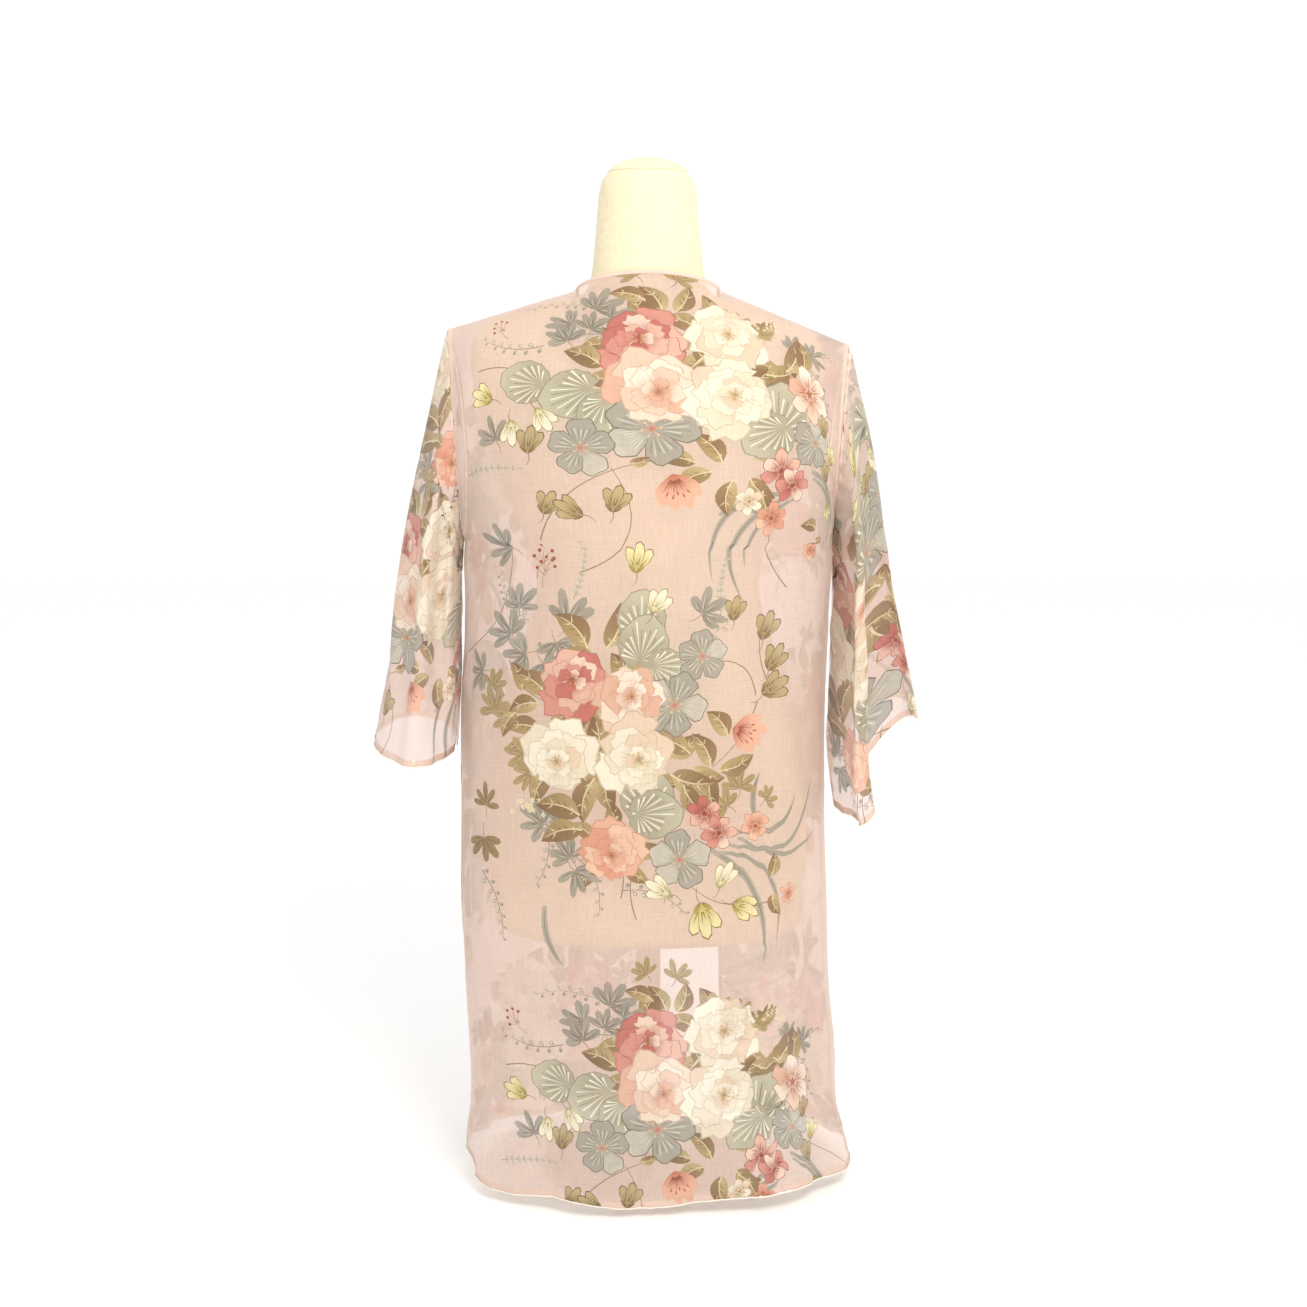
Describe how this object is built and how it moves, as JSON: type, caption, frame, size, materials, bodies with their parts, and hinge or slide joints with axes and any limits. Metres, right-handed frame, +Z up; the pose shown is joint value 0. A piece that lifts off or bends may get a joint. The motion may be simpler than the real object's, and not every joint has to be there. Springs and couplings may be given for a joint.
{
  "type": "kimono on dress form",
  "caption": "Sheer floral kimono jacket with an open front and wide set-in sleeves, worn by a cream limbless dress form on a short round stand",
  "frame": {"origin": "middle of the stand base's underside, on the floor", "axes": "+Z up the pole to the neck; the garment's back faces -Y and its open front +Y; the wearer's left is -X"},
  "size_m": [0.5425, 0.2564, 1.0168],
  "materials": {
    "sheer_cloth": "sheer printed chiffon, matt",
    "binding_cloth": "narrow binding of the same cloth, matt",
    "form_cover": "cream jersey, matt",
    "stand_metal": "satin paint"
  },
  "bodies": {
    "root": {"back": "sheer_cloth", "front_left": "sheer_cloth", "front_right": "sheer_cloth", "sleeve_left": "sheer_cloth", "sleeve_right": "sheer_cloth", "neck_binding": "binding_cloth", "form_torso": "form_cover", "form_neck_cap": "form_cover", "stand_pole": "stand_metal", "stand_base": "stand_metal"}
  },
  "joints": []
}
